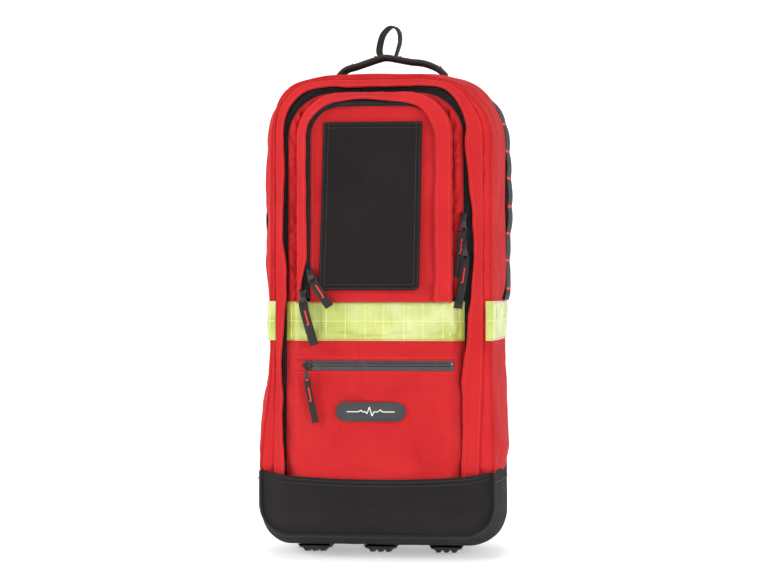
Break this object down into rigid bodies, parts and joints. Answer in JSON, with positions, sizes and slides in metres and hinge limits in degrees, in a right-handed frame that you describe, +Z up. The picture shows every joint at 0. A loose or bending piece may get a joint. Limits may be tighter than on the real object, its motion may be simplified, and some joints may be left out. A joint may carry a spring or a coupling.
{
  "type": "trauma backpack",
  "caption": "Tall red first responder backpack with a zipped drop-down front lid, document pocket, reflective band, padded harness and a black base with skids.",
  "frame": {"origin": "on the floor, midway across the pack's width and depth", "axes": "+X across the pack, -Y out of its front, +Z up"},
  "size_m": [0.32, 0.2677, 0.6899],
  "materials": {
    "red_fabric": "coated ripstop nylon",
    "black_fabric": "heavy woven nylon",
    "spacer_mesh": "padded air mesh",
    "webbing": "ribbed webbing",
    "zip_tape": "woven tape with coil",
    "slider_metal": "black enamel",
    "reflective_vinyl": "prismatic lime vinyl",
    "rubber": "moulded matt",
    "buckle_plastic": "moulded",
    "frame_board": "plain sheet",
    "aluminium": "satin bar",
    "clear_film": "clear flexible film"
  },
  "bodies": {
    "pack": {"adjuster_webbing_left": "webbing", "adjuster_webbing_right": "webbing", "back_pad": "spacer_mesh", "back_panel": "black_fabric", "base_boot": "black_fabric", "daisy_chain_left": "webbing", "daisy_chain_right": "webbing", "frame_sheet": "frame_board", "frame_stay_left": "aluminium", "frame_stay_right": "aluminium", "gusset_shell": "red_fabric", "ladder_lock_left": "buckle_plastic", "ladder_lock_right": "buckle_plastic", "load_lifter_left": "webbing", "load_lifter_right": "webbing", "lumbar_pad": "spacer_mesh", "main_storm_flap": "red_fabric", "main_zip_outer_tape": "zip_tape", "reflective_band_left": "reflective_vinyl", "reflective_band_right": "reflective_vinyl", "shoulder_strap_left": "black_fabric", "shoulder_strap_right": "black_fabric", "skid_centre": "rubber", "skid_left": "rubber", "skid_right": "rubber", "sternum_buckle_female": "buckle_plastic", "sternum_webbing_right": "webbing"},
    "front_lid": {"lid_panel": "red_fabric", "lower_front_panel": "red_fabric", "pocket_gusset": "red_fabric", "pocket_storm_flap": "red_fabric", "reflective_band_front": "reflective_vinyl", "lower_zip_tape": "zip_tape", "badge": "rubber", "main_zip_inner_tape": "zip_tape", "pocket_zip_outer_tape": "zip_tape", "pocket_zip_slider_lower": "slider_metal"},
    "pocket_front": {"pocket_panel": "red_fabric", "document_window": "clear_film", "pocket_zip_inner_tape": "zip_tape"},
    "document_cover": {"document_flap": "black_fabric"},
    "grab_handle": {"grab_handle": "webbing", "hang_loop": "webbing"},
    "sternum_clip": {"sternum_buckle_male": "buckle_plastic", "sternum_webbing_left": "webbing"},
    "hip_left": {"hip_wing_left": "black_fabric", "hip_buckle_male": "buckle_plastic", "hip_webbing_left": "webbing"},
    "hip_right": {"hip_wing_right": "black_fabric", "hip_buckle_female": "buckle_plastic"},
    "main_slider_upper": {"main_zip_slider_upper": "slider_metal"},
    "main_slider_lower": {"main_zip_slider_lower": "slider_metal"},
    "main_pull_upper": {"main_zip_pull_upper": "webbing"},
    "main_pull_lower": {"main_zip_pull_lower": "webbing"},
    "pocket_slider_upper": {"pocket_zip_slider_upper": "slider_metal"},
    "pocket_pull_upper": {"pocket_zip_pull_upper": "webbing"},
    "pocket_pull_lower": {"pocket_zip_pull_lower": "webbing"},
    "lower_slider": {"lower_zip_slider": "slider_metal"},
    "lower_pull": {"lower_zip_pull": "webbing"}
  },
  "joints": [
    {"name": "lid_open", "type": "hinge", "parent": "pack", "child": "front_lid", "pos_m": [0, -0.1186, 0.1105], "axis": [1, 0, 0], "range_deg": [0, 100]},
    {"name": "pocket_open", "type": "hinge", "parent": "front_lid", "child": "pocket_front", "pos_m": [0, -0.1275, 0.3282], "axis": [1, 0, 0], "range_deg": [0, 130]},
    {"name": "document_flap_lift", "type": "hinge", "parent": "pocket_front", "child": "document_cover", "pos_m": [0, -0.1264, 0.55], "axis": [-1, 0, 0], "range_deg": [0, 150]},
    {"name": "grab_handle_swing", "type": "hinge", "parent": "pack", "child": "grab_handle", "pos_m": [0, 0.024, 0.634], "axis": [1, 0, 0], "range_deg": [-35, 35]},
    {"name": "sternum_release", "type": "slide", "parent": "pack", "child": "sternum_clip", "axis": [-1, 0, 0], "range_m": [0, 0.017]},
    {"name": "hip_wing_left_fold", "type": "hinge", "parent": "pack", "child": "hip_left", "pos_m": [-0.146, 0.1005, 0.084], "axis": [0, 0, 1], "range_deg": [0, 170]},
    {"name": "hip_wing_right_fold", "type": "hinge", "parent": "pack", "child": "hip_right", "pos_m": [0.146, 0.1005, 0.084], "axis": [0, 0, -1], "range_deg": [0, 170]},
    {"name": "main_slider_upper_travel", "type": "slide", "parent": "front_lid", "child": "main_slider_upper", "axis": [0, 0, 1], "range_m": [0, 0.098]},
    {"name": "main_slider_lower_travel", "type": "slide", "parent": "front_lid", "child": "main_slider_lower", "axis": [0, 0, -1], "range_m": [0, 0.215]},
    {"name": "main_pull_upper_swing", "type": "hinge", "parent": "main_slider_upper", "child": "main_pull_upper", "pos_m": [0.1115, -0.1084, 0.4308], "axis": [-1, 0, 0], "range_deg": [0, 110]},
    {"name": "main_pull_lower_swing", "type": "hinge", "parent": "main_slider_lower", "child": "main_pull_lower", "pos_m": [0.1115, -0.1084, 0.3958], "axis": [-1, 0, 0], "range_deg": [0, 110]},
    {"name": "pocket_slider_upper_travel", "type": "slide", "parent": "pocket_front", "child": "pocket_slider_upper", "axis": [0, 0, 1], "range_m": [0, 0.165]},
    {"name": "pocket_pull_upper_swing", "type": "hinge", "parent": "pocket_slider_upper", "child": "pocket_pull_upper", "pos_m": [-0.0795, -0.1311, 0.3608], "axis": [-1, 0, 0], "range_deg": [0, 110]},
    {"name": "pocket_pull_lower_swing", "type": "hinge", "parent": "front_lid", "child": "pocket_pull_lower", "pos_m": [-0.0885, -0.1311, 0.3348], "axis": [-1, 0, 0], "range_deg": [0, 110]},
    {"name": "lower_slider_travel", "type": "slide", "parent": "front_lid", "child": "lower_slider", "axis": [1, 0, 0], "range_m": [0, 0.17]},
    {"name": "lower_pull_swing", "type": "hinge", "parent": "lower_slider", "child": "lower_pull", "pos_m": [-0.084, -0.1253, 0.246], "axis": [0, 1, 0], "range_deg": [-30, 30]}
  ]
}
